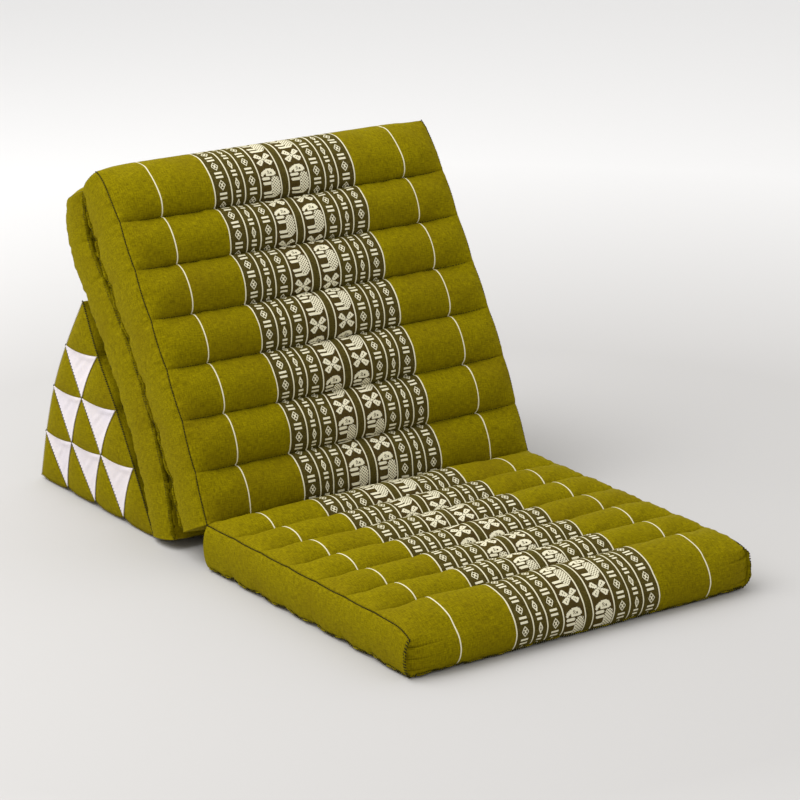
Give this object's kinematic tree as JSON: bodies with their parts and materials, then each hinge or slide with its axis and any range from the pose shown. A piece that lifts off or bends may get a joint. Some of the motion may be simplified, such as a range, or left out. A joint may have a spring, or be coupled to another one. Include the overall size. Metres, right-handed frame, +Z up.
{
  "type": "thai triangle cushion",
  "caption": "Folding floor cushion set up as a backrest: a ribbed triangular wedge and three channel-sewn mats in a zigzag chain, with pale triangles in the wedge's ends.",
  "frame": {"origin": "on the floor, at the middle of the footprint's box", "axes": "+Z up; -Y towards the seat mat's free front edge and +Y towards the wedge's back; +X to the right of someone who faces the cushion from its seat end"},
  "size_m": [0.536, 0.9515, 0.4865],
  "materials": {
    "green_cloth": "matte",
    "pale_cloth": "matte"
  },
  "bodies": {
    "root": {"mat_seat": "green_cloth", "mat_back": "green_cloth", "mat_rear": "green_cloth", "wedge": "green_cloth", "end_patch_left_1": "pale_cloth", "end_patch_left_2": "pale_cloth", "end_patch_left_3": "pale_cloth", "end_patch_left_4": "pale_cloth", "end_patch_left_5": "pale_cloth", "end_patch_left_6": "pale_cloth", "end_patch_right_1": "pale_cloth", "end_patch_right_2": "pale_cloth", "end_patch_right_3": "pale_cloth", "end_patch_right_4": "pale_cloth", "end_patch_right_5": "pale_cloth", "end_patch_right_6": "pale_cloth"}
  },
  "joints": []
}
